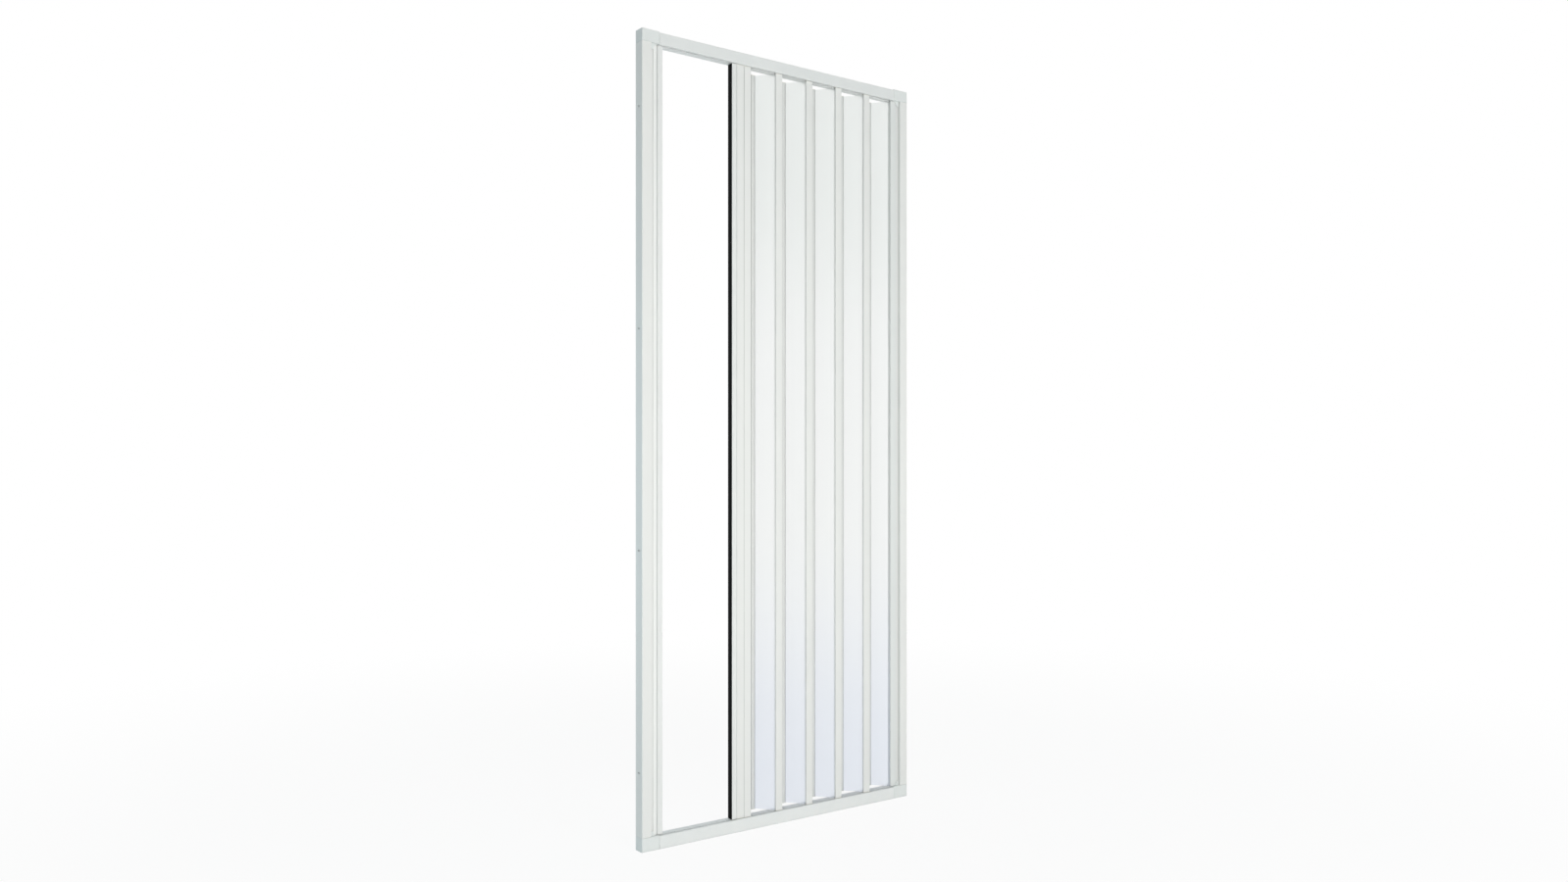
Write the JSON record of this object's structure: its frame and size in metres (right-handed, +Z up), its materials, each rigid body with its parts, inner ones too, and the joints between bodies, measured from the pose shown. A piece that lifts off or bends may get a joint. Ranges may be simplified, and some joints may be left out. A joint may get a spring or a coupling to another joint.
{
  "type": "folding shower door",
  "caption": "White folding shower door for a niche: an extruded frame with corner pieces, translucent panels pleated between hinge slats, and a lead post with a magnet seal, partly open.",
  "frame": {"origin": "middle of the bottom rail's underside, in the middle of the frame's width and depth", "axes": "+Z up, -Y towards the outside of the shower, the lead post closes towards -X"},
  "size_m": [0.8, 0.0561, 1.85],
  "materials": {
    "pvc_white": "satin white extrusion",
    "moulded_white": "satin white moulding",
    "panel_sheet": "translucent white",
    "nylon": "natural",
    "seal": "matt black",
    "magnet": "dark magnetic strip",
    "screw_steel": "stainless steel"
  },
  "bodies": {
    "frame": {"left_wall_channel": "pvc_white", "right_wall_channel": "pvc_white", "left_jamb": "pvc_white", "right_jamb": "pvc_white", "left_jamb_screws": "screw_steel", "right_jamb_screws": "screw_steel", "top_rail": "pvc_white", "bottom_rail": "pvc_white", "top_left_corner": "moulded_white", "top_right_corner": "moulded_white", "bottom_left_corner": "moulded_white", "bottom_right_corner": "moulded_white", "strike_profile": "pvc_white", "strike_magnet_carrier": "moulded_white", "strike_magnet": "magnet", "end_profile": "pvc_white"},
    "panel_10": {"panel_10": "panel_sheet"},
    "back_slat_5": {"back_slat_5": "pvc_white", "back_slat_5_caps": "nylon"},
    "panel_9": {"panel_9": "panel_sheet"},
    "front_slat_4": {"front_slat_4": "pvc_white", "front_slat_4_top_glider": "nylon", "front_slat_4_bottom_glider": "nylon"},
    "panel_8": {"panel_8": "panel_sheet"},
    "back_slat_4": {"back_slat_4": "pvc_white", "back_slat_4_caps": "nylon"},
    "panel_7": {"panel_7": "panel_sheet"},
    "front_slat_3": {"front_slat_3": "pvc_white", "front_slat_3_top_glider": "nylon", "front_slat_3_bottom_glider": "nylon"},
    "panel_6": {"panel_6": "panel_sheet"},
    "back_slat_3": {"back_slat_3": "pvc_white", "back_slat_3_caps": "nylon"},
    "panel_5": {"panel_5": "panel_sheet"},
    "front_slat_2": {"front_slat_2": "pvc_white", "front_slat_2_top_glider": "nylon", "front_slat_2_bottom_glider": "nylon"},
    "panel_4": {"panel_4": "panel_sheet"},
    "back_slat_2": {"back_slat_2": "pvc_white", "back_slat_2_caps": "nylon"},
    "panel_3": {"panel_3": "panel_sheet"},
    "front_slat_1": {"front_slat_1": "pvc_white", "front_slat_1_top_glider": "nylon", "front_slat_1_bottom_glider": "nylon"},
    "panel_2": {"panel_2": "panel_sheet"},
    "back_slat_1": {"back_slat_1": "pvc_white", "back_slat_1_caps": "nylon"},
    "panel_1": {"panel_1": "panel_sheet"},
    "lead_post": {"lead_box_profile": "pvc_white", "lead_slat": "pvc_white", "lead_magnet_carrier": "moulded_white", "lead_magnet": "magnet", "lead_seal": "seal", "lead_top_glider": "nylon", "lead_bottom_glider": "nylon"}
  },
  "joints": [
    {"name": "end_hinge", "type": "hinge", "parent": "frame", "child": "panel_10", "pos_m": [0.351, -0.005, 0.9255], "axis": [0, 0, -1], "range_deg": [-39.7, 33.5]},
    {"name": "back_slat_5_right_hinge", "type": "hinge", "parent": "panel_10", "child": "back_slat_5", "pos_m": [0.31794, 0.03657, 0.9255], "axis": [0, 0, 1], "range_deg": [-39.7, 33.5]},
    {"name": "back_slat_5_left_hinge", "type": "hinge", "parent": "back_slat_5", "child": "panel_9", "pos_m": [0.30636, 0.03657, 0.9255], "axis": [0, 0, 1], "range_deg": [-39.7, 33.5]},
    {"name": "front_slat_4_right_hinge", "type": "hinge", "parent": "panel_9", "child": "front_slat_4", "pos_m": [0.2733, -0.005, 0.9255], "axis": [0, 0, -1], "range_deg": [-39.7, 33.5]},
    {"name": "front_slat_4_left_hinge", "type": "hinge", "parent": "front_slat_4", "child": "panel_8", "pos_m": [0.25772, -0.005, 0.9255], "axis": [0, 0, -1], "range_deg": [-39.7, 33.5]},
    {"name": "back_slat_4_right_hinge", "type": "hinge", "parent": "panel_8", "child": "back_slat_4", "pos_m": [0.22465, 0.03657, 0.9255], "axis": [0, 0, 1], "range_deg": [-39.7, 33.5]},
    {"name": "back_slat_4_left_hinge", "type": "hinge", "parent": "back_slat_4", "child": "panel_7", "pos_m": [0.21307, 0.03657, 0.9255], "axis": [0, 0, 1], "range_deg": [-39.7, 33.5]},
    {"name": "front_slat_3_right_hinge", "type": "hinge", "parent": "panel_7", "child": "front_slat_3", "pos_m": [0.18001, -0.005, 0.9255], "axis": [0, 0, -1], "range_deg": [-39.7, 33.5]},
    {"name": "front_slat_3_left_hinge", "type": "hinge", "parent": "front_slat_3", "child": "panel_6", "pos_m": [0.16443, -0.005, 0.9255], "axis": [0, 0, -1], "range_deg": [-39.7, 33.5]},
    {"name": "back_slat_3_right_hinge", "type": "hinge", "parent": "panel_6", "child": "back_slat_3", "pos_m": [0.13137, 0.03657, 0.9255], "axis": [0, 0, 1], "range_deg": [-39.7, 33.5]},
    {"name": "back_slat_3_left_hinge", "type": "hinge", "parent": "back_slat_3", "child": "panel_5", "pos_m": [0.11979, 0.03657, 0.9255], "axis": [0, 0, 1], "range_deg": [-39.7, 33.5]},
    {"name": "front_slat_2_right_hinge", "type": "hinge", "parent": "panel_5", "child": "front_slat_2", "pos_m": [0.08672, -0.005, 0.9255], "axis": [0, 0, -1], "range_deg": [-39.7, 33.5]},
    {"name": "front_slat_2_left_hinge", "type": "hinge", "parent": "front_slat_2", "child": "panel_4", "pos_m": [0.07114, -0.005, 0.9255], "axis": [0, 0, -1], "range_deg": [-39.7, 33.5]},
    {"name": "back_slat_2_right_hinge", "type": "hinge", "parent": "panel_4", "child": "back_slat_2", "pos_m": [0.03808, 0.03657, 0.9255], "axis": [0, 0, 1], "range_deg": [-39.7, 33.5]},
    {"name": "back_slat_2_left_hinge", "type": "hinge", "parent": "back_slat_2", "child": "panel_3", "pos_m": [0.0265, 0.03657, 0.9255], "axis": [0, 0, 1], "range_deg": [-39.7, 33.5]},
    {"name": "front_slat_1_right_hinge", "type": "hinge", "parent": "panel_3", "child": "front_slat_1", "pos_m": [-0.00656, -0.005, 0.9255], "axis": [0, 0, -1], "range_deg": [-39.7, 33.5]},
    {"name": "front_slat_1_left_hinge", "type": "hinge", "parent": "front_slat_1", "child": "panel_2", "pos_m": [-0.02214, -0.005, 0.9255], "axis": [0, 0, -1], "range_deg": [-39.7, 33.5]},
    {"name": "back_slat_1_right_hinge", "type": "hinge", "parent": "panel_2", "child": "back_slat_1", "pos_m": [-0.0552, 0.03657, 0.9255], "axis": [0, 0, 1], "range_deg": [-39.7, 33.5]},
    {"name": "back_slat_1_left_hinge", "type": "hinge", "parent": "back_slat_1", "child": "panel_1", "pos_m": [-0.06678, 0.03657, 0.9255], "axis": [0, 0, 1], "range_deg": [-39.7, 33.5]},
    {"name": "lead_post_hinge", "type": "hinge", "parent": "panel_1", "child": "lead_post", "pos_m": [-0.09985, -0.005, 0.9255], "axis": [0, 0, -1], "range_deg": [-39.7, 33.5]}
  ],
  "couplings": [
    {"joint": "back_slat_5_right_hinge", "follows": "end_hinge", "ratio": 1},
    {"joint": "back_slat_5_left_hinge", "follows": "end_hinge", "ratio": 1},
    {"joint": "front_slat_4_right_hinge", "follows": "end_hinge", "ratio": 1},
    {"joint": "front_slat_4_left_hinge", "follows": "end_hinge", "ratio": 1},
    {"joint": "back_slat_4_right_hinge", "follows": "end_hinge", "ratio": 1},
    {"joint": "back_slat_4_left_hinge", "follows": "end_hinge", "ratio": 1},
    {"joint": "front_slat_3_right_hinge", "follows": "end_hinge", "ratio": 1},
    {"joint": "front_slat_3_left_hinge", "follows": "end_hinge", "ratio": 1},
    {"joint": "back_slat_3_right_hinge", "follows": "end_hinge", "ratio": 1},
    {"joint": "back_slat_3_left_hinge", "follows": "end_hinge", "ratio": 1},
    {"joint": "front_slat_2_right_hinge", "follows": "end_hinge", "ratio": 1},
    {"joint": "front_slat_2_left_hinge", "follows": "end_hinge", "ratio": 1},
    {"joint": "back_slat_2_right_hinge", "follows": "end_hinge", "ratio": 1},
    {"joint": "back_slat_2_left_hinge", "follows": "end_hinge", "ratio": 1},
    {"joint": "front_slat_1_right_hinge", "follows": "end_hinge", "ratio": 1},
    {"joint": "front_slat_1_left_hinge", "follows": "end_hinge", "ratio": 1},
    {"joint": "back_slat_1_right_hinge", "follows": "end_hinge", "ratio": 1},
    {"joint": "back_slat_1_left_hinge", "follows": "end_hinge", "ratio": 1},
    {"joint": "lead_post_hinge", "follows": "end_hinge", "ratio": 1}
  ]
}
